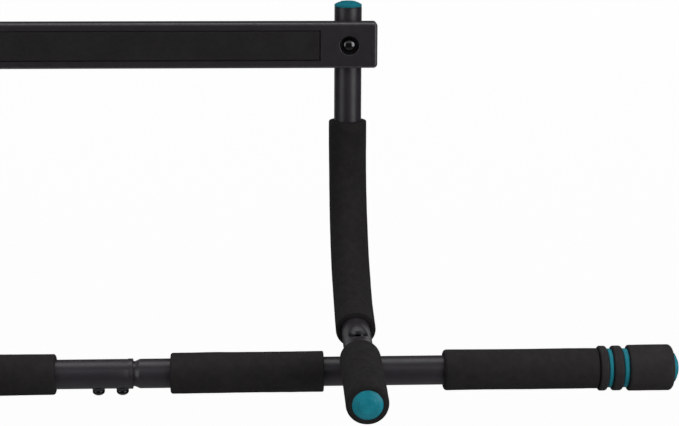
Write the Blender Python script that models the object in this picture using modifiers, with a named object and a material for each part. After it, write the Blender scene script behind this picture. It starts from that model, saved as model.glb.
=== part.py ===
"""Doorway pull-up bar: a padded flat beam, two bent arms and a two-piece main bar.

The beam rests on the trim behind a doorway, the arms pass under the header, and the
main bar hangs on the user's side, below and in front of the beam.

Frame: the origin is the centre of the beam's flat underside. +X runs along the bars,
-Y points to the user and +Z is up.
"""
import math

import bmesh
import bpy
from mathutils import Matrix, Vector
from mathutils.geometry import interpolate_bezier

MM = 0.001

# Common sizes
FIT_GAP = 0.3 * MM
TUBE_RADIUS = 12.7 * MM
TUBE_WALL = 1.6 * MM
BORE_RADIUS = TUBE_RADIUS - TUBE_WALL
FOAM_RADIUS = 17.6 * MM
SLEEVE_BORE = TUBE_RADIUS + FIT_GAP
BOLT_RADIUS = 4.0 * MM
BOLT_HOLE_RADIUS = 4.3 * MM
SCREW_RADIUS = 3.0 * MM
SCREW_HOLE_RADIUS = 3.3 * MM
MERGE_DISTANCE = 0.00001
CUT_MARGIN = 1.0 * MM
CUT_REACH = 20.0 * MM

# Flat beam
BEAM_LENGTH = 473.6 * MM
BEAM_HEIGHT = 42.0 * MM
BEAM_DEPTH = 16.2 * MM
BEAM_FRONT_WALL = 4.5 * MM
BEAM_SIDE_WALL = 2.5 * MM
BEAM_CORNER = 1.2 * MM
BEAM_END_CORNER = 3.6 * MM
PAD_LENGTH = 367.0 * MM
PAD_HEIGHT = 26.2 * MM
PAD_DEPTH = 2.6 * MM
PAD_POCKET_DEPTH = 2.2 * MM
PAD_GROOVE = 0.7 * MM
WELL_RADIUS = 8.8 * MM
WELL_BOSS_RADIUS = 11.0 * MM
STRIP_FRONT = 0.2 * MM
STRIP_THICKNESS = 3.5 * MM
BACK_PLATE_THICKNESS = 4.0 * MM
ARM_GROOVE_DEPTH = 2.5 * MM
STRIP_MARGIN = 1.2 * MM
PAD_ROUNDING = 0.4 * MM
EDGE_ANGLE = math.radians(40)

# Arms
ARM_X = 211.0 * MM
ARM_Y = BEAM_DEPTH / 2 - ARM_GROOVE_DEPTH + SLEEVE_BORE
ARM_TOP = 53.8 * MM
ARM_BEND_TOP = -66.8 * MM
ARM_FOAM_TOP = -53.0 * MM
ARM_FOAM_FRONT = 34.0 * MM
ARM_FOAM_ROUNDING = 3.0 * MM
ARM_FOAM_EDGE = 1.0 * MM
ARM_FOAM_SHRINK = 2.4 * MM
BEND_PULL_DOWN = 95.0 * MM
BEND_PULL_BACK = 75.0 * MM
BEND_END = -12.0 * MM

# Main bar and the neutral grips that the arms end in
MAIN_Y = ARM_Y - 178.0 * MM
MAIN_Z = -242.3 * MM
CROSSING_RISE = 22.8 * MM
GRIP_TILT = math.radians(4.6)
GRIP_FOAM_START = 26.0 * MM
GRIP_FOAM_END = 129.0 * MM
GRIP_TUBE_END = 126.5 * MM
SEAT_RADIUS = 9.2 * MM
SEAT_FLOOR = 4.0 * MM
SEAT_WALL = 1.6 * MM
GRIP_ROUNDING = 3.0 * MM

# Stations along the main bar, measured from its centre
SLEEVE_END = 17.0 * MM
SWAGE_START = -26.0 * MM
SWAGE_RADIUS = BORE_RADIUS - FIT_GAP
SWAGE_BORE = SWAGE_RADIUS - TUBE_WALL
SHOULDER_START = 17.8 * MM
SHOULDER_END = 23.8 * MM
SHOULDER_CURVE = ((3.0 * MM, 0.3 * MM), (5.0 * MM, 0.9 * MM))
SLEEVE_LIP = 0.5 * MM
JOINT_SCREWS = {"joint_screw_left": -12.9 * MM, "joint_screw_right": 7.7 * MM}
INNER_FOAM = (49.2 * MM, 181.0 * MM)
OUTER_FOAM = (285.1 * MM, 420.6 * MM)
RIDGES = ((420.9 * MM, 428.0 * MM), (432.7 * MM, 441.3 * MM))
RINGS = ((428.3 * MM, 432.4 * MM), (441.6 * MM, 446.3 * MM))
END_GRIP = (446.6 * MM, 485.4 * MM)
MAIN_TUBE_END = 485.6 * MM
RIDGE_RADIUS = 19.6 * MM
RING_RADIUS = 17.0 * MM
END_GRIP_RADIUS = 20.0 * MM
FOAM_ROUNDING = 2.5 * MM
RIDGE_ROUNDING = 2.0 * MM
RING_ROUNDING = 0.8 * MM
END_GRIP_ROUNDING = 4.0 * MM
SCREW_SEAT_RADIUS = 5.4 * MM
SCREW_SEAT_DROP = 1.2 * MM

# Plugs
PLUG_STEM_RADIUS = 10.7 * MM
PLUG_STEM_LENGTH = 14.0 * MM
PLUG_RIM_RADIUS = 12.7 * MM
PLUG_RIM_HEIGHT = 2.4 * MM
PLUG_DOME_HEIGHT = 3.0 * MM

# Washers, nuts and bolts
SADDLE_WIDTH = 18.0 * MM
SADDLE_THICKNESS = 2.4 * MM
SADDLE_DROP = 4.0 * MM
NUT_FLATS = 13.0 * MM
NUT_HEIGHT = 5.5 * MM
NUT_DOME_RADIUS = 6.0 * MM
NUT_DOME_HEIGHT = 4.5 * MM
NUT_GRIP = 6.0 * MM
JOINT_NUT_FLATS = 10.0 * MM
JOINT_NUT_HEIGHT = 5.0 * MM
JOINT_NUT_DROP = 7.2 * MM
BEAM_HEAD_RADIUS = 6.3 * MM
BEAM_HEAD_HEIGHT = 5.6 * MM
CROSSING_HEAD_RADIUS = 7.2 * MM
CROSSING_HEAD_HEIGHT = 5.0 * MM
CROSSING_KEY = 5.0 * MM
SCREW_HEAD_RADIUS = 5.3 * MM
SCREW_HEAD_HEIGHT = 4.7 * MM
SCREW_KEY = 4.0 * MM
SOCKET_DEPTH = 2.5 * MM
HEAD_SKIRT = 0.3

# Facets
ROUND_STEPS = 20
FINE_STEPS = 28
BEND_POINTS = 12
ROUNDING_STEPS = 1
DOME_STEPS = 3
SMALL_STEPS = 16
EDGE_STEPS = 2
CORNER_STEPS = 3
SMOOTH_ANGLE = math.radians(35)

# Directions a turned piece's own +Z can be laid along
UPWARD = (0.0, 0.0, 0.0)
DOWNWARD = (math.pi, 0.0, 0.0)
TO_RIGHT = (0.0, math.pi / 2, 0.0)
TO_LEFT = (0.0, -math.pi / 2, 0.0)
TO_BACK = (-math.pi / 2, 0.0, 0.0)
TO_FRONT = (math.pi / 2, 0.0, 0.0)
SIDES = {"left": -1, "right": 1}


# ---------------------------------------------------------------- scene helpers

def clear_scene():
    for item in list(bpy.data.objects):
        bpy.data.objects.remove(item, do_unlink=True)


def new_collection(name):
    collection = bpy.data.collections.new(name)
    bpy.context.scene.collection.children.link(collection)
    return collection


def new_material(name, colour, roughness, metallic):
    material = bpy.data.materials.new(name)
    material.use_nodes = True
    shader = material.node_tree.nodes["Principled BSDF"]
    shader.inputs["Base Color"].default_value = (*colour, 1.0)
    shader.inputs["Roughness"].default_value = roughness
    shader.inputs["Metallic"].default_value = metallic
    material.diffuse_color = (*colour, 1.0)
    return material


def new_piece(name, mesh, material, location=(0, 0, 0), rotation=UPWARD):
    """Link one visible sub-part."""
    piece = bpy.data.objects.new(name, mesh)
    piece.location = location
    piece.rotation_euler = rotation
    if not mesh.materials:
        mesh.materials.append(material)
    PARTS.objects.link(piece)
    return piece


def new_cutter(name, mesh, location=(0, 0, 0), rotation=UPWARD):
    """Link one hidden shape that a Boolean modifier uses."""
    cutter = bpy.data.objects.new(name, mesh)
    cutter.location = location
    cutter.rotation_euler = rotation
    cutter.hide_render = True
    cutter.display_type = "WIRE"
    CUTTERS.objects.link(cutter)
    return cutter


def combine(piece, other, operation):
    modifier = piece.modifiers.new(operation.title(), "BOOLEAN")
    modifier.operation = operation
    modifier.solver = "EXACT"
    modifier.object = other


def cut(piece, cutter):
    combine(piece, cutter, "DIFFERENCE")


def smooth(mesh):
    mesh.shade_smooth()
    mesh.set_sharp_from_angle(angle=SMOOTH_ANGLE)


# ---------------------------------------------------------------- mesh makers

def mesh_from(name, bm):
    mesh = bpy.data.meshes.new(name)
    bm.to_mesh(mesh)
    bm.free()
    return mesh


def box_mesh(name, low, high, corner=0.0):
    """A box between two corners, with all its edges rounded where corner is given."""
    low, high = Vector(low), Vector(high)
    size = high - low
    bm = bmesh.new()
    bmesh.ops.create_cube(bm, size=1.0)
    bmesh.ops.scale(bm, vec=size, verts=bm.verts)
    bmesh.ops.translate(bm, vec=(low + high) / 2, verts=bm.verts)
    if corner:
        bmesh.ops.bevel(bm, geom=bm.edges[:], offset=corner, segments=EDGE_STEPS, profile=0.5,
                        affect="EDGES")
    return mesh_from(name, bm)


def cylinder_mesh(name, radius, low, high, steps=ROUND_STEPS):
    """A solid cylinder about Z between two heights."""
    bm = bmesh.new()
    bmesh.ops.create_cone(bm, cap_ends=True, segments=steps, radius1=radius,
                          radius2=radius, depth=high - low)
    bmesh.ops.translate(bm, vec=(0, 0, (low + high) / 2), verts=bm.verts)
    mesh = mesh_from(name, bm)
    smooth(mesh)
    return mesh


def turned_mesh(name, profile, closed, steps=ROUND_STEPS):
    """Turn a profile of (radius, height) points about Z.

    The profile runs down the outer side. A closed one comes back up its bore.
    """
    bm = bmesh.new()
    points = [bm.verts.new((radius, 0, height)) for radius, height in profile]
    ends = points[1:] + points[:1] if closed else points[1:]
    for start, end in zip(points, ends):
        bm.edges.new((start, end))
    holder = bpy.data.objects.new(name, mesh_from(name, bm))
    CUTTERS.objects.link(holder)
    screw = holder.modifiers.new("Turn", "SCREW")
    screw.axis = "Z"
    screw.steps = steps
    screw.render_steps = steps
    screw.use_merge_vertices = True
    screw.merge_threshold = MERGE_DISTANCE
    mesh = baked_mesh(holder, name)
    smooth(mesh)
    return mesh


def baked_mesh(holder, name):
    """The evaluated, welded mesh of an object that is then removed."""
    bpy.context.view_layer.update()
    graph = bpy.context.evaluated_depsgraph_get()
    mesh = bpy.data.meshes.new_from_object(holder.evaluated_get(graph))
    bpy.data.objects.remove(holder, do_unlink=True)
    bm = bmesh.new()
    bm.from_mesh(mesh)
    bmesh.ops.remove_doubles(bm, verts=bm.verts, dist=MERGE_DISTANCE)
    bm.to_mesh(mesh)
    bm.free()
    mesh.name = name
    return mesh


def swept_mesh(name, points, radius, scales=None):
    """A round solid along a list of points, scaled at each point if scales is given."""
    curve = bpy.data.curves.new(name, "CURVE")
    curve.dimensions = "3D"
    curve.bevel_depth = radius
    curve.bevel_resolution = ROUND_STEPS // 2 - 2
    curve.use_fill_caps = True
    spline = curve.splines.new("POLY")
    spline.points.add(len(points) - 1)
    for index, point in enumerate(points):
        spline.points[index].co = (*point, 1.0)
        spline.points[index].radius = scales[index] if scales else 1.0
    holder = bpy.data.objects.new(name, curve)
    CUTTERS.objects.link(holder)
    mesh = baked_mesh(holder, name)
    smooth(mesh)
    return mesh


def hex_mesh(name, across_flats, low, high):
    """A hexagonal prism about Z."""
    radius = across_flats / math.sqrt(3)
    bm = bmesh.new()
    bmesh.ops.create_cone(bm, cap_ends=True, segments=6, radius1=radius, radius2=radius,
                          depth=high - low)
    bmesh.ops.translate(bm, vec=(0, 0, (low + high) / 2), verts=bm.verts)
    return mesh_from(name, bm)


# ---------------------------------------------------------------- profiles

def rounded_side(radius, low, high, rounding):
    """The outer side of a round piece from its top to its bottom, with round corners."""
    turns = [index * math.pi / 2 / ROUNDING_STEPS for index in range(ROUNDING_STEPS + 1)]
    inner = radius - rounding
    upper = [(inner + rounding * math.sin(turn), high - rounding + rounding * math.cos(turn))
             for turn in turns]
    lower = [(inner + rounding * math.cos(turn), low + rounding - rounding * math.sin(turn))
             for turn in turns]
    return upper + lower


def sleeve_profile(radius, bore, low, high, rounding):
    """A sleeve: a rounded outer side with a plain bore."""
    return rounded_side(radius, low, high, rounding) + [(bore, low), (bore, high)]


def dome_profile(radius, base, height):
    """A dome from its tip on the axis down to its edge at the base height."""
    turns = [index * math.pi / 2 / DOME_STEPS for index in range(DOME_STEPS + 1)]
    return [(radius * math.sin(turn), base + height * math.cos(turn)) for turn in turns]


# ---------------------------------------------------------------- arm route

def crossing_point():
    return Vector((0, MAIN_Y, MAIN_Z + CROSSING_RISE))


def grip_direction():
    return Vector((0, -math.cos(GRIP_TILT), -math.sin(GRIP_TILT)))


def along_grip(distance):
    return crossing_point() + grip_direction() * distance


def arm_route():
    """The arm's centre line: straight down, one long bend, then straight forward."""
    bend_start = Vector((0, ARM_Y, ARM_BEND_TOP))
    bend_end = along_grip(BEND_END)
    pull_down = bend_start - Vector((0, 0, BEND_PULL_DOWN))
    pull_back = bend_end - grip_direction() * BEND_PULL_BACK
    bend = interpolate_bezier(bend_start, pull_down, pull_back, bend_end, BEND_POINTS)
    return [Vector((0, ARM_Y, ARM_TOP))] + bend + [along_grip(GRIP_TUBE_END)]


def route_length(route):
    return sum((end - start).length for start, end in zip(route, route[1:]))


def point_at(route, distance):
    for start, end in zip(route, route[1:]):
        step = (end - start).length
        if distance <= step:
            return start.lerp(end, distance / step)
        distance -= step
    return route[-1].copy()


def stretch(route, first, last, extra=()):
    """The part of a route between two distances, with extra stations added."""
    stations = [first, last, *extra]
    travelled = 0.0
    for start, end in zip(route, route[1:]):
        travelled += (end - start).length
        if first + CUT_MARGIN < travelled < last - CUT_MARGIN:
            if all(abs(travelled - station) > 2 * CUT_MARGIN for station in extra):
                stations.append(travelled)
    return [(station, point_at(route, station)) for station in sorted(stations)]


def extended(route, extra):
    """The same route with both straight ends made longer."""
    first = route[0] + (route[0] - route[1]).normalized() * extra
    last = route[-1] + (route[-1] - route[-2]).normalized() * extra
    return [first] + route[1:-1] + [last]


# ---------------------------------------------------------------- flat beam

def shell_outline_mesh():
    """The cover as a solid block whose four corners are rounded, seen from the front.

    It runs past the beam's back face, where it is trimmed flat.
    """
    half_length, half_depth = BEAM_LENGTH / 2, BEAM_DEPTH / 2
    mesh = box_mesh("beam_shell", (-half_length, -half_depth, 0),
                    (half_length, half_depth + 2 * BEAM_CORNER, BEAM_HEIGHT))
    bm = bmesh.new()
    bm.from_mesh(mesh)
    corners = [edge for edge in bm.edges
               if abs(edge.verts[0].co.y - edge.verts[1].co.y) > BEAM_DEPTH / 2]
    bmesh.ops.bevel(bm, geom=corners, offset=BEAM_END_CORNER, segments=CORNER_STEPS, profile=0.5,
                    affect="EDGES")
    bm.to_mesh(mesh)
    bm.free()
    return mesh


def beam_shell():
    """Moulded cover of the beam, open at the back, with a pad pocket and two bolt wells."""
    half_length, half_depth = BEAM_LENGTH / 2, BEAM_DEPTH / 2
    shell = new_piece("beam_shell", shell_outline_mesh(), PLASTIC)
    rounded = shell.modifiers.new("Edges", "BEVEL")
    rounded.width = BEAM_CORNER
    rounded.segments = EDGE_STEPS
    rounded.limit_method = "ANGLE"
    rounded.angle_limit = EDGE_ANGLE
    trim = box_mesh("shell_trim", (-half_length - CUT_MARGIN, half_depth, -CUT_MARGIN),
                    (half_length + CUT_MARGIN, half_depth + 4 * BEAM_CORNER,
                     BEAM_HEIGHT + CUT_MARGIN))
    cut(shell, new_cutter("shell_trim", trim))
    cavity_end = half_length - BEAM_SIDE_WALL
    cavity = box_mesh("shell_cavity", (-cavity_end, -half_depth + BEAM_FRONT_WALL, BEAM_SIDE_WALL),
                      (cavity_end, half_depth + CUT_MARGIN, BEAM_HEIGHT - BEAM_SIDE_WALL))
    cavity_cutter = new_cutter("shell_cavity", cavity)
    boss = cylinder_mesh("well_boss", WELL_BOSS_RADIUS, FIT_GAP - STRIP_FRONT, BEAM_DEPTH)
    for side, sign in SIDES.items():
        place = (sign * ARM_X, 0, BEAM_HEIGHT / 2)
        cut(cavity_cutter, new_cutter("well_boss_" + side, boss, place, TO_FRONT))
    cut(shell, cavity_cutter)
    well = cylinder_mesh("well", WELL_RADIUS, -BEAM_DEPTH, BEAM_DEPTH)
    for side, sign in SIDES.items():
        place = (sign * ARM_X, 0, BEAM_HEIGHT / 2)
        cut(shell, new_cutter("well_" + side, well, place, TO_FRONT))
    pocket_half = PAD_LENGTH / 2 + PAD_GROOVE
    pocket_low = (BEAM_HEIGHT - PAD_HEIGHT) / 2 - PAD_GROOVE
    pocket = box_mesh("pad_pocket", (-pocket_half, -half_depth - CUT_MARGIN, pocket_low),
                      (pocket_half, -half_depth + PAD_POCKET_DEPTH, BEAM_HEIGHT - pocket_low))
    cut(shell, new_cutter("pad_pocket", pocket))
    cut_arm_grooves(shell)


def cut_arm_grooves(piece):
    """The round grooves in the beam's back that the arms lie in."""
    groove = cylinder_mesh("arm_groove", SLEEVE_BORE, -CUT_MARGIN, BEAM_HEIGHT + CUT_MARGIN,
                           FINE_STEPS)
    for side, sign in SIDES.items():
        place = (sign * ARM_X, ARM_Y, 0)
        cut(piece, new_cutter(piece.name + "_groove_" + side, groove, place))


def cut_bolt_holes(piece):
    """The holes for the two bolts that hold the arms to the beam."""
    hole = cylinder_mesh("beam_bolt_hole", BOLT_HOLE_RADIUS, -BEAM_DEPTH, BEAM_DEPTH,
                         SMALL_STEPS)
    for side, sign in SIDES.items():
        place = (sign * ARM_X, 0, BEAM_HEIGHT / 2)
        cut(piece, new_cutter(piece.name + "_hole_" + side, hole, place, TO_FRONT))


def beam_inner_box(name, front, back, margin):
    """A plate that fits inside the beam's cover."""
    end = BEAM_LENGTH / 2 - BEAM_SIDE_WALL - margin
    low = BEAM_SIDE_WALL + margin
    return box_mesh(name, (-end, front, low), (end, back, BEAM_HEIGHT - low))


def beam_plates():
    """The steel strip that carries the load, and the plate that closes the back."""
    strip_mesh = beam_inner_box("beam_steel_strip", STRIP_FRONT, STRIP_FRONT + STRIP_THICKNESS,
                                STRIP_MARGIN)
    strip = new_piece("beam_steel_strip", strip_mesh, BLACK_STEEL)
    cut_bolt_holes(strip)
    plate_mesh = beam_inner_box("beam_back_plate", BEAM_DEPTH / 2 - BACK_PLATE_THICKNESS,
                                BEAM_DEPTH / 2, FIT_GAP)
    plate = new_piece("beam_back_plate", plate_mesh, PLASTIC)
    cut_bolt_holes(plate)
    cut_arm_grooves(plate)


def beam_pad():
    """The soft strip that faces the wall."""
    low = (BEAM_HEIGHT - PAD_HEIGHT) / 2
    back = -BEAM_DEPTH / 2 + PAD_POCKET_DEPTH - FIT_GAP
    mesh = box_mesh("beam_pad", (-PAD_LENGTH / 2, back - PAD_DEPTH, low),
                    (PAD_LENGTH / 2, back, BEAM_HEIGHT - low), PAD_ROUNDING)
    new_piece("beam_pad", mesh, FOAM)


# ---------------------------------------------------------------- fasteners

def nut_piece(name, place, rotation):
    """A dome nut. Its own +Z points from its seat to its dome."""
    nut = new_piece(name, hex_mesh(name, NUT_FLATS, 0, NUT_HEIGHT), BLACK_STEEL, place,
                    rotation)
    profile = dome_profile(NUT_DOME_RADIUS, NUT_HEIGHT, NUT_DOME_HEIGHT)
    sunk = NUT_HEIGHT - CUT_MARGIN
    profile += [(NUT_DOME_RADIUS, sunk), (0, sunk)]
    dome = turned_mesh(name + "_dome", profile, False, SMALL_STEPS)
    combine(nut, new_cutter(name + "_dome", dome, place, rotation), "UNION")
    bore = cylinder_mesh(name + "_bore", BOLT_HOLE_RADIUS, -CUT_MARGIN, NUT_GRIP + CUT_MARGIN,
                         SMALL_STEPS)
    cut(nut, new_cutter(name + "_bore", bore, place, rotation))


def bolt_mesh(name, head_radius, head_height, shank_radius, shank_length):
    """A round-headed bolt. The head's seat is at z = 0 and the shank runs down."""
    skirt = HEAD_SKIRT * head_height
    profile = dome_profile(head_radius, skirt, head_height - skirt)
    profile += [(head_radius, 0), (shank_radius, 0), (shank_radius, -shank_length),
                (0, -shank_length)]
    return turned_mesh(name, profile, False, SMALL_STEPS)


def socket_cut(bolt, flats, top, place, rotation=UPWARD):
    """A hexagonal key socket in a bolt's head."""
    name = bolt.name + "_socket"
    socket = hex_mesh(name, flats, top - SOCKET_DEPTH, top + CUT_MARGIN)
    cut(bolt, new_cutter(name, socket, place, rotation))


def saddle_piece(name, place, rotation, tube_along_x):
    """A square washer hollowed to sit on a tube. Its own +Z points away from the tube.

    place is the point on the tube's surface under the washer's middle.
    """
    half = SADDLE_WIDTH / 2
    mesh = box_mesh(name, (-half, -half, -SADDLE_DROP), (half, half, SADDLE_THICKNESS))
    saddle = new_piece(name, mesh, BLACK_STEEL, place, rotation)
    hollow = cylinder_mesh(name + "_hollow", SLEEVE_BORE, -CUT_REACH, CUT_REACH, FINE_STEPS)
    tilt = Matrix.Rotation(math.pi / 2, 4, "Y" if tube_along_x else "X")
    hollow.transform(Matrix.Translation((0, 0, -TUBE_RADIUS)) @ tilt)
    cut(saddle, new_cutter(name + "_hollow", hollow, place, rotation))
    hole = cylinder_mesh(name + "_hole", BOLT_HOLE_RADIUS, -CUT_REACH, CUT_REACH, SMALL_STEPS)
    cut(saddle, new_cutter(name + "_hole", hole, place, rotation))


def beam_fasteners(side, sign):
    """One bolt back through the beam and an arm, its saddle washer and its dome nut."""
    height = BEAM_HEIGHT / 2
    seat = FIT_GAP - STRIP_FRONT
    tube_back = ARM_Y + TUBE_RADIUS
    nut_seat = tube_back + SADDLE_THICKNESS + FIT_GAP
    name = "beam_bolt_" + side
    length = seat + nut_seat + NUT_GRIP
    mesh = bolt_mesh(name, BEAM_HEAD_RADIUS, BEAM_HEAD_HEIGHT, BOLT_RADIUS, length)
    new_piece(name, mesh, BLACK_STEEL, (sign * ARM_X, -seat, height), TO_FRONT)
    saddle_piece("beam_saddle_washer_" + side, (sign * ARM_X, tube_back, height), TO_BACK,
                 False)
    nut_piece("beam_dome_nut_" + side, (sign * ARM_X, nut_seat, height), TO_BACK)


def crossing_fasteners(side, sign):
    """One bolt down through an arm and the main bar, its saddle washer and its dome nut."""
    top = MAIN_Z + CROSSING_RISE + SEAT_FLOOR + FIT_GAP
    bottom = MAIN_Z - TUBE_RADIUS
    nut_seat = bottom - SADDLE_THICKNESS - FIT_GAP
    name = "crossing_bolt_" + side
    place = (sign * ARM_X, MAIN_Y, top)
    length = top - nut_seat + NUT_GRIP
    mesh = bolt_mesh(name, CROSSING_HEAD_RADIUS, CROSSING_HEAD_HEIGHT, BOLT_RADIUS, length)
    bolt = new_piece(name, mesh, BLACK_STEEL, place)
    socket_cut(bolt, CROSSING_KEY, CROSSING_HEAD_HEIGHT, place)
    saddle_piece("crossing_saddle_washer_" + side, (sign * ARM_X, MAIN_Y, bottom), DOWNWARD,
                 True)
    nut_piece("crossing_dome_nut_" + side, (sign * ARM_X, MAIN_Y, nut_seat), DOWNWARD)


def joint_nut(name, place):
    """A plain nut held inside the swaged tube."""
    nut = new_piece(name, hex_mesh(name, JOINT_NUT_FLATS, 0, JOINT_NUT_HEIGHT), STEEL, place)
    bore = cylinder_mesh(name + "_bore", SCREW_HOLE_RADIUS, -CUT_MARGIN,
                         JOINT_NUT_HEIGHT + CUT_MARGIN, SMALL_STEPS)
    cut(nut, new_cutter(name + "_bore", bore, place))


def joint_fasteners():
    """Two screws from below that lock the main bar's halves, with nuts held inside."""
    seat = MAIN_Z - TUBE_RADIUS - SCREW_SEAT_DROP - FIT_GAP
    nut_low = MAIN_Z - JOINT_NUT_DROP
    for name, along in JOINT_SCREWS.items():
        place = (along, MAIN_Y, seat)
        mesh = bolt_mesh(name, SCREW_HEAD_RADIUS, SCREW_HEAD_HEIGHT, SCREW_RADIUS,
                         MAIN_Z - CUT_MARGIN - seat)
        screw = new_piece(name, mesh, BLACK_STEEL, place, DOWNWARD)
        socket_cut(screw, SCREW_KEY, SCREW_HEAD_HEIGHT, place, DOWNWARD)
        joint_nut(name.replace("screw", "nut"), (along, MAIN_Y, nut_low))


# ---------------------------------------------------------------- plugs and sleeves

def plug_mesh(name):
    """A domed plug. Its rim rests on a tube's end at z = 0 and its stem runs down."""
    profile = dome_profile(PLUG_RIM_RADIUS, PLUG_RIM_HEIGHT, PLUG_DOME_HEIGHT)
    profile += [(PLUG_RIM_RADIUS, FIT_GAP), (PLUG_STEM_RADIUS, FIT_GAP),
                (PLUG_STEM_RADIUS, -PLUG_STEM_LENGTH), (0, -PLUG_STEM_LENGTH)]
    return turned_mesh(name, profile, False)


def bar_sleeve(name, radius, station, rounding, material, sign):
    """A sleeve on the main bar between two stations of its right or left half."""
    mesh = turned_mesh(name, sleeve_profile(radius, SLEEVE_BORE, *station, rounding), True)
    rotation = TO_RIGHT if sign > 0 else TO_LEFT
    new_piece(name, mesh, material, (0, MAIN_Y, MAIN_Z), rotation)


# ---------------------------------------------------------------- arms

def arm_tube_mesh():
    """The outline of one arm, before it is made hollow."""
    return swept_mesh("arm_tube", arm_route(), TUBE_RADIUS)


def arm_tube(side, sign, solid):
    """One bent tube with its bolt holes, its pressed seat and its saddle at the crossing."""
    name = "arm_tube_" + side
    place = (sign * ARM_X, 0, 0)
    tube = new_piece(name, solid.copy(), PAINT, place)
    inside = swept_mesh(name + "_inside", extended(arm_route(), CUT_MARGIN), BORE_RADIUS)
    inside_cutter = new_cutter(name + "_inside", inside, place)
    crossing = crossing_point() + Vector(place)
    cup = cylinder_mesh(name + "_cup", SEAT_RADIUS + SEAT_WALL, SEAT_FLOOR - SEAT_WALL,
                        CUT_REACH)
    cut(inside_cutter, new_cutter(name + "_cup", cup, crossing))
    cut(tube, inside_cutter)
    seat = cylinder_mesh(name + "_seat", SEAT_RADIUS, SEAT_FLOOR, CUT_REACH, FINE_STEPS)
    cut(tube, new_cutter(name + "_seat", seat, crossing))
    hole = cylinder_mesh(name + "_hole", BOLT_HOLE_RADIUS, -CUT_REACH, CUT_REACH, SMALL_STEPS)
    cut(tube, new_cutter(name + "_crossing_hole", hole, crossing))
    beam_height = (sign * ARM_X, ARM_Y, BEAM_HEIGHT / 2)
    cut(tube, new_cutter(name + "_beam_hole", hole, beam_height, TO_FRONT))
    saddle = cylinder_mesh(name + "_saddle", SLEEVE_BORE, -CUT_REACH, CUT_REACH, FINE_STEPS)
    cut(tube, new_cutter(name + "_saddle", saddle, (sign * ARM_X, MAIN_Y, MAIN_Z), TO_RIGHT))


def arm_foam_ends(route):
    """Distances along the route where the arm's foam starts and ends."""
    start = ARM_TOP - ARM_FOAM_TOP
    end = route_length(route) - GRIP_TUBE_END - ARM_FOAM_FRONT
    return start, end


def arm_foam(side, sign):
    """The long foam sleeve that follows an arm round its bend."""
    name = "arm_foam_" + side
    place = (sign * ARM_X, 0, 0)
    route = arm_route()
    start, end = arm_foam_ends(route)
    first_edge, last_edge = start + ARM_FOAM_EDGE, end - ARM_FOAM_EDGE
    extra = (first_edge, start + ARM_FOAM_ROUNDING, end - ARM_FOAM_ROUNDING, last_edge)
    line = stretch(route, start, end, extra)
    shrink = {start: ARM_FOAM_SHRINK, first_edge: ARM_FOAM_EDGE, last_edge: ARM_FOAM_EDGE,
              end: ARM_FOAM_SHRINK}
    scales = [1 - shrink.get(station, 0) / FOAM_RADIUS for station, _ in line]
    solid = swept_mesh(name, [point for _, point in line], FOAM_RADIUS, scales)
    foam = new_piece(name, solid, FOAM, place)
    bore = swept_mesh(name + "_bore", extended(route, CUT_MARGIN), SLEEVE_BORE)
    cut(foam, new_cutter(name + "_bore", bore, place))


def grip_rotation():
    """Turns a piece's own +Z to the neutral grip's direction."""
    return (math.pi / 2 + GRIP_TILT, 0, 0)


def neutral_grip(side, sign, plug):
    """The forward-pointing foam grip at the end of an arm, and its plug."""
    shift = Vector((sign * ARM_X, 0, 0))
    name = "neutral_grip_foam_" + side
    profile = sleeve_profile(FOAM_RADIUS, SLEEVE_BORE, GRIP_FOAM_START, GRIP_FOAM_END,
                             GRIP_ROUNDING)
    new_piece(name, turned_mesh(name, profile, True), FOAM, crossing_point() + shift,
              grip_rotation())
    new_piece("neutral_grip_plug_" + side, plug, TEAL, along_grip(GRIP_TUBE_END) + shift,
              grip_rotation())


# ---------------------------------------------------------------- main bar

def cut_main_holes(tube, sign):
    """The crossing bolt's hole and the joint screws' holes in one half of the main bar."""
    hole = cylinder_mesh(tube.name + "_hole", BOLT_HOLE_RADIUS, -CUT_REACH, CUT_REACH,
                         SMALL_STEPS)
    place = (sign * ARM_X, MAIN_Y, MAIN_Z)
    cut(tube, new_cutter(tube.name + "_crossing_hole", hole, place))
    screw_hole = cylinder_mesh(tube.name + "_screw_hole", SCREW_HOLE_RADIUS, -CUT_REACH, 0,
                               SMALL_STEPS)
    for name, along in JOINT_SCREWS.items():
        place = (along, MAIN_Y, MAIN_Z)
        cut(tube, new_cutter(tube.name + "_" + name, screw_hole, place))


def screw_seats(tube):
    """The flat bosses under the sleeve end that the joint screws' heads bear on."""
    bottom = -TUBE_RADIUS - SCREW_SEAT_DROP
    boss = cylinder_mesh("screw_seat", SCREW_SEAT_RADIUS, bottom, -BORE_RADIUS - FIT_GAP)
    for name, along in JOINT_SCREWS.items():
        place = (along, MAIN_Y, MAIN_Z)
        combine(tube, new_cutter("seat_of_" + name, boss, place), "UNION")


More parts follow.
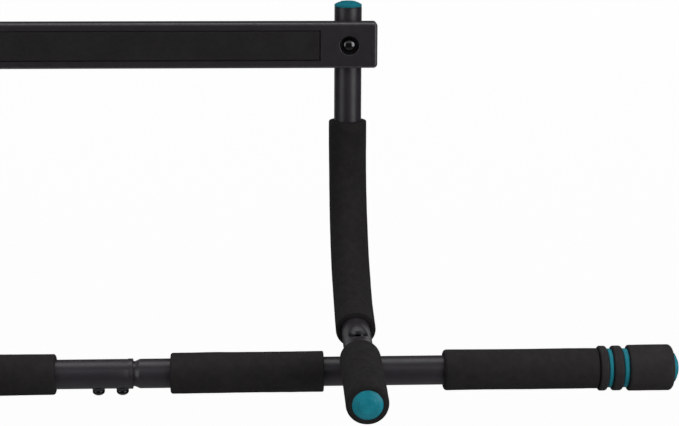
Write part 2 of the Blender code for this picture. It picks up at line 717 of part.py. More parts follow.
def main_tubes():
    """The left half with its plain sleeve end, and the right half with its swaged end."""
    profile = [(BORE_RADIUS, SLEEVE_END), (TUBE_RADIUS - SLEEVE_LIP, SLEEVE_END),
               (TUBE_RADIUS, SLEEVE_END - SLEEVE_LIP), (TUBE_RADIUS, -MAIN_TUBE_END),
               (BORE_RADIUS, -MAIN_TUBE_END)]
    place = (0, MAIN_Y, MAIN_Z)
    left = new_piece("main_tube_left", turned_mesh("main_tube_left", profile, True), PAINT,
                     place, TO_RIGHT)
    screw_seats(left)
    cut_main_holes(left, -1)
    profile = [(BORE_RADIUS, MAIN_TUBE_END), (TUBE_RADIUS, MAIN_TUBE_END),
               (TUBE_RADIUS, SHOULDER_END)]
    profile += [(TUBE_RADIUS - drop, SHOULDER_END - back) for back, drop in SHOULDER_CURVE]
    profile += [(SWAGE_RADIUS, SHOULDER_START), (SWAGE_RADIUS, SWAGE_START),
                (SWAGE_BORE, SWAGE_START), (SWAGE_BORE, SHOULDER_START),
                (BORE_RADIUS, SHOULDER_END)]
    right = new_piece("main_tube_right", turned_mesh("main_tube_right", profile, True), PAINT,
                      place, TO_RIGHT)
    cut_main_holes(right, 1)


def bar_end(side, sign, plug):
    """The sleeves, rings and plug on one half of the main bar."""
    bar_sleeve("inner_foam_" + side, FOAM_RADIUS, INNER_FOAM, FOAM_ROUNDING, FOAM, sign)
    bar_sleeve("outer_foam_" + side, FOAM_RADIUS, OUTER_FOAM, FOAM_ROUNDING, FOAM, sign)
    for number, (ridge, ring) in enumerate(zip(RIDGES, RINGS), 1):
        tag = side + "_" + str(number)
        bar_sleeve("ridge_" + tag, RIDGE_RADIUS, ridge, RIDGE_ROUNDING, FOAM, sign)
        bar_sleeve("accent_ring_" + tag, RING_RADIUS, ring, RING_ROUNDING, TEAL, sign)
    bar_sleeve("end_grip_" + side, END_GRIP_RADIUS, END_GRIP, END_GRIP_ROUNDING, FOAM, sign)
    rotation = TO_RIGHT if sign > 0 else TO_LEFT
    new_piece("end_plug_" + side, plug, TEAL, (sign * MAIN_TUBE_END, MAIN_Y, MAIN_Z), rotation)


# ---------------------------------------------------------------- assembly

clear_scene()
PARTS = new_collection("pull_up_bar")
CUTTERS = new_collection("cutters")
PAINT = new_material("painted_steel_tube", (0.030, 0.029, 0.033), 0.35, 0.6)
FOAM = new_material("black_foam", (0.018, 0.017, 0.018), 0.9, 0.0)
PLASTIC = new_material("grey_plastic", (0.042, 0.040, 0.045), 0.5, 0.0)
TEAL = new_material("teal_plastic", (0.015, 0.19, 0.24), 0.4, 0.0)
BLACK_STEEL = new_material("black_fastener", (0.012, 0.012, 0.013), 0.2, 0.7)
STEEL = new_material("plated_steel", (0.45, 0.45, 0.46), 0.4, 1.0)

beam_shell()
beam_plates()
beam_pad()
main_tubes()
joint_fasteners()
ARM_OUTLINE = arm_tube_mesh()
PLUG = plug_mesh("plug")
for SIDE, SIGN in SIDES.items():
    beam_fasteners(SIDE, SIGN)
    crossing_fasteners(SIDE, SIGN)
    arm_tube(SIDE, SIGN, ARM_OUTLINE)
    arm_foam(SIDE, SIGN)
    new_piece("arm_top_plug_" + SIDE, PLUG, TEAL, (SIGN * ARM_X, ARM_Y, ARM_TOP))
    neutral_grip(SIDE, SIGN, PLUG)
    bar_end(SIDE, SIGN, PLUG)
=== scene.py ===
"""Looks of the doorway pull-up bar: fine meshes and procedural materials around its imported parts.

Lengths are in metres. +X runs along the bars, -Y points to the user and +Z is up.
Every fine piece is made in the part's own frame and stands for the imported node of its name.
"""
import math

import bmesh
import bpy
from mathutils import Matrix, Vector, noise
from mathutils.geometry import interpolate_bezier


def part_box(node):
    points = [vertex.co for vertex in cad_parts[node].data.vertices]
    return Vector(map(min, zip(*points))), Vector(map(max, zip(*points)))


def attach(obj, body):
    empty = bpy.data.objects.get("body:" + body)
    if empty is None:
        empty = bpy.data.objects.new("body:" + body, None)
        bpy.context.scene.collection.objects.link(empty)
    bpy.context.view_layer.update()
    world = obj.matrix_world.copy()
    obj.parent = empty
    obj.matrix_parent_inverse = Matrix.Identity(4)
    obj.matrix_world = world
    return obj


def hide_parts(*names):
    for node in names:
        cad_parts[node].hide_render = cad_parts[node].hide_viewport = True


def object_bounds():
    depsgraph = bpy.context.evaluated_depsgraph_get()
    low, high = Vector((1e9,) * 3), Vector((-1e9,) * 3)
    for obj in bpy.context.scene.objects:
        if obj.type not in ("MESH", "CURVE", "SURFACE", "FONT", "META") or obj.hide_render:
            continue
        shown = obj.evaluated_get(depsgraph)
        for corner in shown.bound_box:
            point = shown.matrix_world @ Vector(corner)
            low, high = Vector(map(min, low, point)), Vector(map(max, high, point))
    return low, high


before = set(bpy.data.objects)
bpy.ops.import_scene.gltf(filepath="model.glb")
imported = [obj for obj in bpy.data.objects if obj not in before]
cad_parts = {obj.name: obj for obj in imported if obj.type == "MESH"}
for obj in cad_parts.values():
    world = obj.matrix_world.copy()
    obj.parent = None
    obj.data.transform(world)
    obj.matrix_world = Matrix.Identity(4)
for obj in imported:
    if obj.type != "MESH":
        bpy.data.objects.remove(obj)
CAD_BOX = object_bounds()
BODY = "root"
MM = 0.001

# ---------------------------------------------------------------- sizes read from the frame


def centre(node):
    """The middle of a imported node's box."""
    low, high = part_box(node)
    return (low + high) / 2


def span(node):
    """Nearest and farthest distance of a node from the bars' middle, along X."""
    low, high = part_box(node)
    return min(abs(low.x), abs(high.x)), max(abs(low.x), abs(high.x))


def radius_of(node):
    """Half of a round node's height, for a node that lies along the bars."""
    low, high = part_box(node)
    return (high.z - low.z) / 2


BAR = Vector((0, centre("main_tube_right").y, centre("main_tube_right").z))
TUBE_RADIUS = radius_of("main_tube_right")
ARM_X = centre("arm_top_plug_right").x
ARM_Y = centre("arm_top_plug_right").y
ARM_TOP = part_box("arm_tube_right")[1].z
ARM_FOAM_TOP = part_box("arm_foam_right")[1].z
FOAM_RADIUS = radius_of("inner_foam_right")
TUBE_END = span("main_tube_right")[1]
BEAM_LOW, BEAM_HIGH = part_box("beam_shell")
PAD_LOW, PAD_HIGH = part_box("beam_pad")
BEAM_MIDDLE = (BEAM_LOW.z + BEAM_HIGH.z) / 2
SIDES = {"left": -1, "right": 1}

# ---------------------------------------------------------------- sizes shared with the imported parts

FIT_GAP = 0.3 * MM

# Tubes and arms
TUBE_WALL = 1.6 * MM
CROSSING = Vector((0, BAR.y, BAR.z + 22.8 * MM))
GRIP_TILT = math.radians(4.6)
GRIP_AIM = Vector((0, -math.cos(GRIP_TILT), -math.sin(GRIP_TILT)))
GRIP_FOAM = (26.0 * MM, 129.0 * MM)
GRIP_TUBE_END = 126.5 * MM
ARM_BEND_TOP = -66.8 * MM
ARM_FOAM_FRONT = 34.0 * MM
BEND_PULL_DOWN = 95.0 * MM
BEND_PULL_BACK = 75.0 * MM
BEND_END = -12.0 * MM
SEAT_FLOOR = 4.0 * MM

# The main bar's joint
JOINT_SCREWS = ("joint_screw_left", "joint_screw_right")
SLEEVE_END = 17.0 * MM
SWAGE_START = -26.0 * MM
SWAGE_RADIUS = TUBE_RADIUS - TUBE_WALL - FIT_GAP
SHOULDER = (17.8 * MM, 23.8 * MM)
SCREW_SEAT_RADIUS = 5.4 * MM
SCREW_SEAT_DROP = 1.2 * MM

# Fasteners
BOLT_RADIUS = 4.0 * MM
BOLT_HOLE_RADIUS = 4.3 * MM
SCREW_RADIUS = 3.0 * MM
SCREW_HOLE_RADIUS = 3.3 * MM
SCREW_HEAD = (5.3 * MM, 4.7 * MM)
SCREW_KEY = 4.0 * MM
CROSSING_KEY = 5.0 * MM
KEY_DEPTH = 2.5 * MM
HEAD_SKIRT = 0.3
SADDLE_THICKNESS = 2.4 * MM
SADDLE_DROP = 4.0 * MM
SADDLE_WIDTH = 18.0 * MM
NUT_FLATS = 13.0 * MM
NUT_HEIGHT = 5.5 * MM
NUT_DOME_RADIUS = 6.0 * MM
NUT_DOME_HEIGHT = 4.5 * MM
NUT_GRIP = 6.0 * MM

# Flat beam
WELL_RADIUS = 8.8 * MM
WELL_BOSS_RADIUS = 11.0 * MM
BEAM_FRONT_WALL = 4.5 * MM
BEAM_SIDE_WALL = 2.5 * MM
BEAM_CORNER = 3.6 * MM
STRIP_FRONT = 0.2 * MM
PAD_POCKET_DEPTH = 2.2 * MM

# ---------------------------------------------------------------- the fine pieces' own detail

# CONTACT is the gap of pieces that touch, and REACH is how far a hole's cutter runs
CONTACT = 0.05 * MM
SLIVER = 0.002 * MM
REACH = 20.0 * MM

# Each arm's pressed seat: a floor, a steep wall and a funnel. Its saddle lies on the main bar
SEAT_WALL_START = 7.5 * MM
SEAT_WALL_SLOPE = 7.0
SEAT_FUNNEL_START = 8.2 * MM
SEAT_FUNNEL_SLOPE = 0.5
SEAT_FUNNEL_HEIGHT = 6.5 * MM
SEAT_ROUNDING = 1.6 * MM
FUNNEL_ROUNDING = 1.0 * MM
SADDLE_ROUNDING = 0.5 * MM

# Tube ends
TUBE_LIP = 0.5 * MM
ARM_LIP = 0.3 * MM
SLEEVE_BEAD = 0.35 * MM
SLEEVE_BAND = 4.7 * MM
SLEEVE_BAND_SLOPE = 0.6 * MM
SCREW_SEAT_EDGE = 0.4 * MM

# Fasteners: a head is its radius and height
BEAM_HEAD = (6.2 * MM, 7.0 * MM)
BEAM_HEAD_SKIRT = 0.52
CROSSING_HEAD = (7.2 * MM, 5.5 * MM)
HEAD_EDGE = 0.3 * MM
SHANK_CHAMFER = 0.6 * MM
SCREW_END_DROP = 1.0 * MM
SADDLE_CORNER = 1.6 * MM
SADDLE_EDGE = 0.35 * MM

# Flat beam
BEAM_EDGE = 3.0 * MM
BEAM_BACK_EDGE = 0.5 * MM
WELL_EDGE = 0.6 * MM
PAD_GROOVE = 0.8 * MM
PAD_EDGE = 0.8 * MM
POCKET_FLARE = 0.2 * MM
POCKET_MOUTH = 0.4 * MM

# Plugs
PLUG_DISC_RADIUS = 7.4 * MM
PLUG_DISC_EDGE = 0.5 * MM
PLUG_RIM_EDGE = 0.7 * MM
PLUG_STEM_GAP = 0.4 * MM
PLUG_STEM_LENGTH = 14.0 * MM

# The foam's slight unevenness
FOAM_SWELLS_PER_METRE = 22
FOAM_SWELL = 0.30 * MM
FOAM_DIMPLES_PER_METRE = 120
FOAM_DIMPLE = 0.10 * MM
FOAM_DIMPLE_SHIFT = Vector((7, 3, 1))

# Fineness
ROUND = 96
SMALL_ROUND = 48
ARC_STEPS = 6
DOME_STEPS = 12
SHOULDER_STEPS = 10
BEND_POINTS = 64
FOAM_STEP = 3.0 * MM
TUBE_STEP = 12.0 * MM
ARM_STEP = 4.0 * MM
PRESS_STEP = 0.5 * MM
PRESS_STEPS = 36
SMOOTH_ANGLE = math.radians(32)


# ---------------------------------------------------------------- camera and stage

# The lens and its sensor are in millimetres. The camera stands off the bar's middle
LENS = 96.26
SENSOR = 36.0
CAMERA_STAND = Vector((0.1163, -1.5022, 0.4833))
CAMERA_TURN = -0.052
CAMERA_DIP = -0.224
CAMERA_ROLL = 0.004

# The glow fades from table to room between two heights of a direction, where straight down is -1
TABLE_GLOW = 0.26
ROOM_GLOW = 0.03
GLOW_FADE = (-0.9, -0.3)

FLOOR_DROP = 3.6
FLOOR_FLAT = 10
FLOOR_CURVE = 4
FLOOR_WALL = 12


def make_camera():
    """The camera in front of the bar's right half, a little above it."""
    lens = bpy.data.cameras.new("camera")
    lens.lens = LENS
    lens.sensor_width = SENSOR
    camera = bpy.data.objects.new("camera", lens)
    turn = Matrix.Rotation(CAMERA_TURN, 4, "Z")
    tilt = Matrix.Rotation(math.pi / 2 + CAMERA_DIP, 4, "X")
    roll = Matrix.Rotation(CAMERA_ROLL, 4, "Z")
    camera.matrix_world = Matrix.Translation(BAR + CAMERA_STAND) @ turn @ tilt @ roll
    bpy.context.scene.collection.objects.link(camera)
    bpy.context.scene.camera = camera


def softbox(name, azimuth, elevation, distance, width, height, power, target):
    """An area light that faces the target. Azimuth 0 is the user's side and 90 the right end."""
    light = bpy.data.lights.new(name, "AREA")
    light.shape = "RECTANGLE"
    light.size = width
    light.size_y = height
    light.energy = power
    lamp = bpy.data.objects.new(name, light)
    side, rise = math.radians(azimuth), math.radians(elevation)
    back = Vector((math.sin(side) * math.cos(rise), -math.cos(side) * math.cos(rise), math.sin(rise)))
    lamp.location = target + back * distance
    lamp.rotation_euler = (-back).to_track_quat("-Z", "Y").to_euler()
    bpy.context.scene.collection.objects.link(lamp)


def make_lights():
    """A broad softbox overhead, a weaker one in front, a tall one at each side and two behind."""
    middle = Vector((0.1, BAR.y / 2, -0.1))
    softbox("top_softbox", 180, 81, 1.5, 2.4, 1.05, 13.2, middle)
    softbox("front_softbox", 0, 36, 1.5, 2.4, 0.7, 2.3, middle)
    softbox("left_softbox", -57, 8, 1.7, 1.05, 1.3, 7.0, middle)
    softbox("right_softbox", 50, 8, 1.7, 1.15, 1.3, 11.5, middle)
    softbox("left_rim_softbox", -150, 8, 1.8, 0.8, 1.1, 1.3, middle)
    softbox("right_rim_softbox", 150, 8, 1.8, 0.8, 1.1, 1.3, middle)


def make_world():
    """A dim room over a pale table top, whose glow comes from below."""
    world = bpy.data.worlds.new("studio")
    world.use_nodes = True
    tree = world.node_tree
    direction = tree.nodes.new("ShaderNodeTexCoord").outputs["Generated"]
    split = tree.nodes.new("ShaderNodeSeparateXYZ")
    tree.links.new(direction, split.inputs["Vector"])
    fade = tree.nodes.new("ShaderNodeMapRange")
    fade.interpolation_type = "SMOOTHSTEP"
    fade.inputs["From Min"].default_value = GLOW_FADE[0]
    fade.inputs["From Max"].default_value = GLOW_FADE[1]
    fade.inputs["To Min"].default_value = TABLE_GLOW
    fade.inputs["To Max"].default_value = ROOM_GLOW
    tree.links.new(split.outputs["Z"], fade.inputs["Value"])
    tree.links.new(fade.outputs["Result"], tree.nodes["Background"].inputs["Strength"])
    tree.nodes["Background"].inputs["Color"].default_value = (1, 1, 1, 1)
    bpy.context.scene.world = world
    bpy.context.scene.view_settings.view_transform = "Standard"


def make_floor(material):
    """A wide pale floor well under the bar, which curves up into a wall on every side.

    It lends the bar no light of its own.
    """
    middle = straight((0, 0, CAD_BOX[0].z - FLOOR_DROP), (0, 0, 1))
    profile = [(0, 0)] + arc(FLOOR_FLAT, FLOOR_CURVE, FLOOR_CURVE, -90, 0, 2 * ARC_STEPS)
    profile += [(FLOOR_FLAT + FLOOR_CURVE, FLOOR_CURVE + FLOOR_WALL)]
    floor = object_of("floor", turned(profile, middle))
    floor.data.materials.append(material)
    floor.data.shade_smooth()
    floor.visible_diffuse = False
    floor.visible_glossy = False
    floor.visible_shadow = False


# ---------------------------------------------------------------- materials

class Shader:
    """A Principled material and a short way to add nodes to it. Texture sizes are in metres."""

    def __init__(self, name, colour, roughness, metallic=0.0, specular=0.5):
        self.material = bpy.data.materials.new(name)
        self.material.use_nodes = True
        self.tree = self.material.node_tree
        self.surface = self.tree.nodes["Principled BSDF"]
        self.surface.inputs["Base Color"].default_value = (*colour, 1)
        self.surface.inputs["Roughness"].default_value = roughness
        self.surface.inputs["Metallic"].default_value = metallic
        self.surface.inputs["Specular IOR Level"].default_value = specular
        self.material.diffuse_color = (*colour, 1)
        self.place = self.add("ShaderNodeTexCoord").outputs["Object"]
        self.height = None

    def add(self, kind):
        """A new node of one kind."""
        return self.tree.nodes.new(kind)

    def link(self, output, socket):
        """Leads one node's output to another's socket."""
        self.tree.links.new(output, socket)

    def noise(self, size, detail, roughness=0.5):
        """Soft noise whose lumps are about size across. Its output runs from 0 to 1."""
        node = self.add("ShaderNodeTexNoise")
        node.inputs["Scale"].default_value = 1 / size
        node.inputs["Detail"].default_value = detail
        node.inputs["Roughness"].default_value = roughness
        self.link(self.place, node.inputs["Vector"])
        return node.outputs["Fac"]

    def cells(self, size):
        """Distance to the middle of the nearest cell, in cells about size across."""
        node = self.add("ShaderNodeTexVoronoi")
        node.inputs["Scale"].default_value = 1 / size
        self.link(self.place, node.inputs["Vector"])
        return node.outputs["Distance"]

    def between(self, value, low, high, low_out=0.0, high_out=1.0):
        """The value's run from low to high stretched over another range."""
        node = self.add("ShaderNodeMapRange")
        node.interpolation_type = "SMOOTHSTEP"
        node.inputs["From Min"].default_value = low
        node.inputs["From Max"].default_value = high
        node.inputs["To Min"].default_value = low_out
        node.inputs["To Max"].default_value = high_out
        self.link(value, node.inputs["Value"])
        return node.outputs["Result"]

    def math(self, operation, first, second):
        """One sum on two values, each a number or an output."""
        node = self.add("ShaderNodeMath")
        node.operation = operation
        for value, socket in zip((first, second), node.inputs):
            if isinstance(value, (int, float)):
                socket.default_value = value
            else:
                self.link(value, socket)
        return node.outputs["Value"]

    def mix(self, factor, first, second):
        """A colour between two others, each a triple or another mix."""
        node = self.add("ShaderNodeMix")
        node.data_type = "RGBA"
        self.link(factor, node.inputs["Factor"])
        for value, socket in ((first, node.inputs[6]), (second, node.inputs[7])):
            if isinstance(value, tuple):
                socket.default_value = (*value, 1)
            else:
                self.link(value, socket)
        return node.outputs[2]

    def edges(self, low, high):
        """1 on convex edges and 0 on flat and hollow stretches."""
        return self.between(self.add("ShaderNodeNewGeometry").outputs["Pointiness"], low, high)

    def front_edge_highlight(self):
        """1 on edges that turn away from the front, and 0 on flat fronts and sides: the mask of a painted
        highlight.
        """
        split = self.add("ShaderNodeSeparateXYZ")
        self.link(self.add("ShaderNodeTexCoord").outputs["Normal"], split.inputs["Vector"])
        facing = self.math("MULTIPLY", split.outputs["Y"], -1.0)
        return self.math("MULTIPLY", self.between(facing, 0.15, 0.45),
                         self.between(facing, 0.985, 0.85))

    def bump(self, height, depth):
        """Adds one layer of relief, depth deep, on top of the layers before it."""
        node = self.add("ShaderNodeBump")
        node.inputs["Distance"].default_value = depth
        self.link(height, node.inputs["Height"])
        if self.height:
            self.link(self.height, node.inputs["Normal"])
        self.height = node.outputs["Normal"]
        self.link(self.height, self.surface.inputs["Normal"])

    def colour(self, output):
        """Leads an output to the surface's colour."""
        self.link(output, self.surface.inputs["Base Color"])

    def roughness(self, output):
        """Leads an output to the surface's roughness."""
        self.link(output, self.surface.inputs["Roughness"])


def foam_material(name, shade):
    """Matte closed-cell foam: small open cells, soft blotches, a dusty bloom on rubbed edges."""
    dark = Vector((0.0245, 0.0222, 0.0230)) * shade
    light = Vector((0.0290, 0.0265, 0.0273)) * shade
    skin = Shader(name, dark, 0.9, specular=0.22)
    tone = skin.mix(skin.between(skin.noise(14 * MM, 4), 0.3, 0.7), tuple(dark), tuple(light))
    cells = skin.cells(0.75 * MM)
    fleck = skin.between(skin.cells(2.2 * MM), 0.09, 0.04)
    tone = skin.mix(skin.math("MULTIPLY", fleck, 0.35), tone, (0.065, 0.062, 0.063))
    edge_lightening = skin.math("MULTIPLY", skin.edges(0.52, 0.60), skin.between(skin.noise(3 * MM, 5), 0.4, 0.65))
    tone = skin.mix(skin.math("MULTIPLY", edge_lightening, 0.5), tone, (0.045, 0.043, 0.044))
    skin.colour(tone)
    skin.roughness(skin.between(skin.noise(5 * MM, 3), 0.3, 0.7, 0.78, 0.96))
    skin.bump(skin.between(cells, 0.0, 0.55), 0.07 * MM)
    skin.bump(skin.noise(2.6 * MM, 4), 0.09 * MM)
    skin.bump(skin.noise(22 * MM, 2), 0.3 * MM)
    return skin.material


def pad_material():
    """The wall pad's finer, denser foam."""
    skin = Shader("pad_foam", (0.029, 0.027, 0.0275), 0.92, specular=0.2)
    tone = skin.mix(skin.between(skin.noise(20 * MM, 4), 0.35, 0.7), (0.0265, 0.0245, 0.0250),
                    (0.0310, 0.0290, 0.0295))
    skin.colour(tone)
    skin.roughness(skin.between(skin.noise(4 * MM, 3), 0.3, 0.7, 0.85, 0.97))
    skin.bump(skin.between(skin.cells(0.5 * MM), 0.0, 0.6), 0.06 * MM)
    skin.bump(skin.noise(3 * MM, 4), 0.10 * MM)
    return skin.material


def paint_material(name, shade):
    """Satin charcoal powder coat with a slight orange peel and thin wear on its edges."""
    dark = Vector((0.0290, 0.0255, 0.0315)) * shade
    light = Vector((0.0335, 0.0295, 0.0360)) * shade
    skin = Shader(name, dark, 0.38, specular=0.5)
    tone = skin.mix(skin.between(skin.noise(30 * MM, 3), 0.35, 0.65), tuple(dark), tuple(light))
    edge_lightening = skin.math("MULTIPLY", skin.edges(0.54, 0.62), skin.between(skin.noise(1.6 * MM, 5), 0.48, 0.62))
    skin.colour(skin.mix(skin.math("MULTIPLY", edge_lightening, 0.6), tone, (0.12, 0.115, 0.12)))
    skin.roughness(skin.between(skin.noise(7 * MM, 4), 0.3, 0.7, 0.34, 0.42))
    skin.bump(skin.noise(1.8 * MM, 2), 0.009 * MM)
    skin.bump(skin.noise(0.35 * MM, 2), 0.002 * MM)
    return skin.material


def beam_material():
    """Dark grey moulded plastic with a fine spark-eroded grain, and a painted highlight on its rounded
    front edges.
    """
    skin = Shader("grained_grey_plastic", (0.0360, 0.0322, 0.0378), 0.32, specular=0.45)
    tone = skin.mix(skin.between(skin.noise(45 * MM, 3), 0.35, 0.65), (0.0336, 0.0302, 0.0355),
                    (0.0380, 0.0342, 0.0401))
    # The lighter colour on the edges that turn from the front, broken up by noise, is a painted highlight.
    edge_lightening = skin.between(skin.noise(2.5 * MM, 5), 0.3, 0.7, 0.35, 0.8)
    skin.colour(skin.mix(skin.math("MULTIPLY", edge_lightening, skin.front_edge_highlight()), tone, (0.125, 0.117, 0.128)))
    skin.roughness(skin.between(skin.noise(6 * MM, 3), 0.3, 0.7, 0.28, 0.37))
    skin.bump(skin.noise(0.55 * MM, 3, 0.6), 0.022 * MM)
    skin.bump(skin.noise(60 * MM, 1), 0.25 * MM)
    return skin.material


def teal_material(name, roughness, ripple, shade=1.0, specular=0.22):
    """Teal moulding with faint sink marks and a paler rim: rubbed wear and a painted highlight."""
    dark = Vector((0.018, 0.31, 0.41)) * shade
    light = Vector((0.025, 0.37, 0.48)) * shade
    skin = Shader(name, dark, roughness, specular=specular)
    tone = skin.mix(skin.between(skin.noise(9 * MM, 3), 0.35, 0.65), tuple(dark), tuple(light))
    # The paler colour on convex edges is partly rubbed wear and partly a painted highlight on the rim.
    edge_lightening = skin.math("MULTIPLY", skin.edges(0.52, 0.60), skin.between(skin.noise(1.2 * MM, 4), 0.3, 0.6))
    skin.colour(skin.mix(skin.math("MULTIPLY", edge_lightening, 0.5), tone, (0.12, 0.50, 0.58)))
    skin.roughness(skin.between(skin.noise(3 * MM, 4), 0.3, 0.7, roughness - 0.07, roughness + 0.08))
    skin.bump(skin.noise(5 * MM, 2), ripple)
    skin.bump(skin.noise(0.8 * MM, 2), 0.004 * MM)
    return skin.material


def fastener_material():
    """Glossy black-plated steel, which reflects a tenth of the light."""
    skin = Shader("black_fastener", (0.10, 0.10, 0.105), 0.15, 1.0)
    tone = skin.mix(skin.between(skin.noise(4 * MM, 3), 0.35, 0.65), (0.088, 0.088, 0.092),
                    (0.112, 0.112, 0.118))
    edge_lightening = skin.math("MULTIPLY", skin.edges(0.56, 0.64), skin.between(skin.noise(0.9 * MM, 4), 0.45, 0.65))
    skin.colour(skin.mix(edge_lightening, tone, (0.30, 0.30, 0.31)))
    skin.roughness(skin.between(skin.noise(1.5 * MM, 4), 0.3, 0.7, 0.10, 0.20))
    skin.bump(skin.noise(2 * MM, 2), 0.01 * MM)
    return skin.material


def steel_material():
    """Plain zinc-plated steel, hidden inside the bar."""
    skin = Shader("zinc_plated_steel", (0.42, 0.42, 0.43), 0.4, 1.0)
    skin.colour(skin.mix(skin.between(skin.noise(6 * MM, 4), 0.3, 0.7), (0.36, 0.36, 0.37),
                         (0.47, 0.47, 0.48)))
    skin.roughness(skin.between(skin.noise(2 * MM, 4), 0.3, 0.7, 0.32, 0.5))
    skin.bump(skin.noise(0.6 * MM, 3), 0.01 * MM)
    return skin.material


def floor_material():
    """A pale matt floor with a glow of its own, so that it looks evenly lit."""
    skin = Shader("pale_floor", (0.88, 0.88, 0.88), 0.9, specular=0.1)
    skin.colour(skin.mix(skin.noise(0.9, 2), (0.87, 0.87, 0.87), (0.89, 0.89, 0.89)))
    skin.surface.inputs["Emission Color"].default_value = (1, 1, 1, 1)
    skin.surface.inputs["Emission Strength"].default_value = 0.95
    return skin.material


# ---------------------------------------------------------------- profiles of (radius, height)

def arc(radius, height, size, start, end, steps=ARC_STEPS):
    """Points on a round corner about a centre. Angle 0 points outward and 90 points up."""
    points = []
    for index in range(steps + 1):
        angle = math.radians(start + (end - start) * index / steps)
        points.append((radius + size * math.cos(angle), height + size * math.sin(angle)))
    return points


def divided(profile, step):
    """The same profile with points added so that none are further apart than step."""
    points = [profile[0]]
    for (near, low), (far, high) in zip(profile, profile[1:]):
        parts = max(1, math.ceil(math.hypot(far - near, high - low) / step))
        for index in range(1, parts + 1):
            share = index / parts
            points.append((near + (far - near) * share, low + (high - low) * share))
    return points


def sleeve_profile(radius, bore, low, high, top_corner, low_corner, lip=0.6 * MM):
    """A closed sleeve: round outer corners at both ends and a small lip round its bore."""
    top = arc(bore + lip, high - lip, lip, 180, 90, 3)
    top += arc(radius - top_corner, high - top_corner, top_corner, 90, 0)
    bottom = arc(radius - low_corner, low + low_corner, low_corner, 0, -90)
    bottom += arc(bore + lip, low + lip, lip, -90, -180, 3)
    return top + bottom


def dome(radius, base, height):
    """A dome from its tip on the axis to its foot."""
    points = []
    for index in range(DOME_STEPS + 1):
        angle = math.pi / 2 * index / DOME_STEPS
        points.append((radius * math.sin(angle), base + height * math.cos(angle)))
    return points


# ---------------------------------------------------------------- centre lines

def straight(start, aim):
    """A line that a piece is turned about: it gives the place and turn at a distance."""
    aim = Vector(aim).normalized()
    turn = aim.to_track_quat("Z", "Y").to_matrix().to_4x4()
    return lambda distance: Matrix.Translation(Vector(start) + aim * distance) @ turn


def bar_line(sign):
    """The main bar's axis from its middle to one end."""
    return straight(BAR, (sign, 0, 0))


def arm_points(sign):
    """One arm's centre line: straight down, one long bend and straight forward."""
    shift = Vector((sign * ARM_X, 0, 0))
    bend_start = Vector((0, ARM_Y, ARM_BEND_TOP))
    bend_end = CROSSING + GRIP_AIM * BEND_END
    bend = interpolate_bezier(bend_start, bend_start - Vector((0, 0, BEND_PULL_DOWN)),
                              bend_end - GRIP_AIM * BEND_PULL_BACK, bend_end, BEND_POINTS)
    route = [Vector((0, ARM_Y, ARM_TOP))] + bend + [CROSSING + GRIP_AIM * GRIP_TUBE_END]
    return [point + shift for point in route]


def arm_length(points):
    """The length of a route along its points."""
    return sum((end - start).length for start, end in zip(points, points[1:]))


def arm_line(sign):
    """The place and turn at a distance along one arm, from its top."""
    points = arm_points(sign)

    def place(distance):
        """The place and turn at one distance from the arm's top."""
        left = distance
        for start, end in zip(points, points[1:]):
            step = (end - start).length
            if left <= step or end is points[-1]:
                break
            left -= step
        aim = (end - start).normalized()
        across = Vector((1, 0, 0))
        turn = Matrix((across, aim.cross(across), aim)).transposed().to_4x4()
        return Matrix.Translation(start + aim * left) @ turn

    return place


# ---------------------------------------------------------------- mesh makers

def bridge(bm, first, second):
    """Faces between two rings. A ring of one point is a tip on the axis."""
    count = max(len(first), len(second))
    for index in range(count):
        after = (index + 1) % count
        corners = [first[index % len(first)], first[after % len(first)],
                   second[after % len(second)], second[index % len(second)]]
        unique = [corner for place, corner in enumerate(corners) if corner not in corners[:place]]
        if len(unique) > 2:
            bm.faces.new(unique)


def turned(profile, line, closed=False, steps=ROUND, shape=None):
    """A profile turned about a line. shape may change a point's radius, given its place and angle."""
    bm = bmesh.new()
    rings = []
    for radius, height in profile:
        place = line(height)
        if radius < CONTACT:
            rings.append([bm.verts.new(place.translation)])
            continue
        ring = []
        for index in range(steps):
            angle = 2 * math.pi * index / steps
            across = Vector((math.cos(angle), math.sin(angle), 0))
            wide = shape(radius, place @ (across * radius), angle) if shape else radius
            ring.append(bm.verts.new(place @ (across * wide)))
        rings.append(ring)
    for first, second in zip(rings, rings[1:] + rings[:1] if closed else rings[1:]):
        bridge(bm, first, second)
    bmesh.ops.recalc_face_normals(bm, faces=bm.faces)
    return bm


def soft(radius, point, _):
    """Foam's slight unevenness, left out of its bore."""
    if radius < TUBE_RADIUS + MM:
        return radius
    swell = noise.noise(point * FOAM_SWELLS_PER_METRE) * FOAM_SWELL
    dimple = noise.noise(point * FOAM_DIMPLES_PER_METRE + FOAM_DIMPLE_SHIFT) * FOAM_DIMPLE
    return radius + swell + dimple


def box_mesh(low, high):
    """A box between two corners."""
    low, high = Vector(low), Vector(high)
    bm = bmesh.new()
    bmesh.ops.create_cube(bm, size=1)
    bmesh.ops.scale(bm, vec=high - low, verts=bm.verts)
    bmesh.ops.translate(bm, vec=(low + high) / 2, verts=bm.verts)
    return bm


def mesh_of(node):
    """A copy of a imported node's mesh, its flat faces joined up."""
    bm = bmesh.new()
    bm.from_mesh(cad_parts[node].data)
    bmesh.ops.remove_doubles(bm, verts=bm.verts, dist=CONTACT / 10)
    bmesh.ops.dissolve_limit(bm, angle_limit=math.radians(1), verts=bm.verts, edges=bm.edges)
    return bm


def object_of(name, bm):
    """A new object made of a finished mesh."""
    mesh = bpy.data.meshes.new(name)
    bm.to_mesh(mesh)
    bm.free()
    item = bpy.data.objects.new(name, mesh)
    bpy.context.scene.collection.objects.link(item)
    return item


def combine(item, bm, operation="DIFFERENCE"):
    """Applies a Boolean with a throwaway shape."""
    other = object_of("cutter", bm)
    modifier = item.modifiers.new("Cut", "BOOLEAN")
    modifier.operation = operation
    modifier.solver = "EXACT"
    modifier.object = other
    bake(item)
    bpy.data.objects.remove(other, do_unlink=True)
    clean(item)


